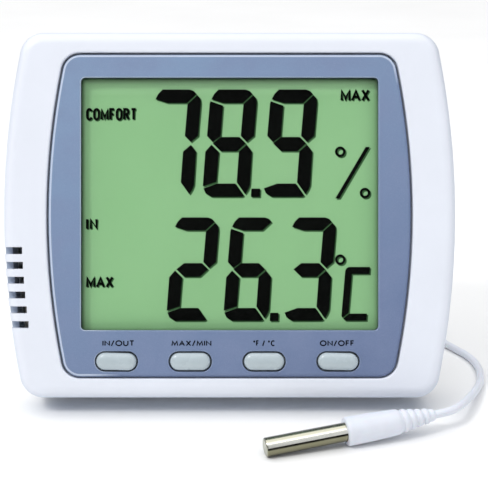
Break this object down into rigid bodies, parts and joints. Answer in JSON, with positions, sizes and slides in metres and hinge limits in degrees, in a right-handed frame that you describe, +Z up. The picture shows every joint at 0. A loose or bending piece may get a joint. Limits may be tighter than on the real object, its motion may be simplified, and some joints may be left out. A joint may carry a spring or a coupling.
{
  "type": "maximum minimum thermometer",
  "caption": "Bulged desk thermometer with a large display window, pill-shaped buttons, side vents, fold-out stand and a steel outdoor probe on a thin cord.",
  "frame": {"origin": "on the standing surface, under the middle of the box of case and stand, without cord and probe", "axes": "+X to the right of the face, +Z up, the face looks towards -Y and leans back 20 degrees"},
  "size_m": [0.1385, 0.1009, 0.1001],
  "materials": {
    "white_abs": "fine satin texture",
    "blue_grey_panel": "satin painted",
    "clear_window": "clear polished",
    "display_glass": "polarised, grey-green",
    "display_film": "satin reflective film",
    "grey_buttons": "satin silicone coated",
    "cord_pvc": "smooth PVC",
    "stainless": "ground and polished",
    "bright_metal": "nickel plated",
    "black_rubber": "matte",
    "black_epoxy": "satin",
    "board_green": "solder mask",
    "cell_jacket": "printed shrink sleeve, plain",
    "wire_jacket": "PVC"
  },
  "bodies": {
    "case": {"front_housing": "white_abs", "rear_housing": "white_abs", "bezel_panel": "blue_grey_panel", "window_lens": "clear_window", "lcd_glass": "display_glass", "lcd_reflector": "display_film", "lcd_frame": "white_abs", "zebra_strips": "black_rubber", "circuit_board": "board_green", "controller_chip": "black_epoxy", "quartz_crystal": "bright_metal", "passive_components": "black_epoxy", "tact_switches": "black_epoxy", "sensor_board": "board_green", "humidity_sensor": "white_abs", "air_thermistor": "black_epoxy", "battery_cell": "cell_jacket", "positive_contact": "bright_metal", "negative_spring": "bright_metal", "strain_relief": "cord_pvc", "case_screws": "bright_metal", "board_screws": "bright_metal", "battery_wires": "wire_jacket", "sensor_wires": "wire_jacket", "probe_wires": "wire_jacket", "cord_lead": "cord_pvc", "cord_coil": "cord_pvc", "coil_tie": "black_rubber", "cord_run": "cord_pvc", "probe_sleeve": "cord_pvc", "probe_tube": "stainless", "probe_potting": "black_epoxy", "probe_thermistor": "black_epoxy"},
    "button_in_out": {"button_in_out": "grey_buttons", "plunger_in_out": "black_epoxy"},
    "button_max_min": {"button_max_min": "grey_buttons", "plunger_max_min": "black_epoxy"},
    "button_unit": {"button_unit": "grey_buttons", "plunger_unit": "black_epoxy"},
    "button_power": {"button_power": "grey_buttons", "plunger_power": "black_epoxy"},
    "battery_door": {"battery_door": "white_abs"},
    "stand": {"stand": "white_abs"}
  },
  "joints": [
    {"name": "press_in_out", "type": "slide", "parent": "case", "child": "button_in_out", "axis": [0, 0.9397, -0.342], "range_m": [0, 0.0005], "stiffness_N_per_m": 900},
    {"name": "press_max_min", "type": "slide", "parent": "case", "child": "button_max_min", "axis": [0, 0.9397, -0.342], "range_m": [0, 0.0005], "stiffness_N_per_m": 900},
    {"name": "press_unit", "type": "slide", "parent": "case", "child": "button_unit", "axis": [0, 0.9397, -0.342], "range_m": [0, 0.0005], "stiffness_N_per_m": 900},
    {"name": "press_power", "type": "slide", "parent": "case", "child": "button_power", "axis": [0, 0.9397, -0.342], "range_m": [0, 0.0005], "stiffness_N_per_m": 900},
    {"name": "stand_hinge", "type": "hinge", "parent": "case", "child": "stand", "pos_m": [0, 0.01056, 0.0519], "axis": [-1, 0, 0], "range_deg": [0, 31.7]},
    {"name": "door_hinge", "type": "hinge", "parent": "case", "child": "battery_door", "pos_m": [0, 0.01465, 0.05727], "axis": [-1, 0, 0], "range_deg": [0, 40]}
  ]
}
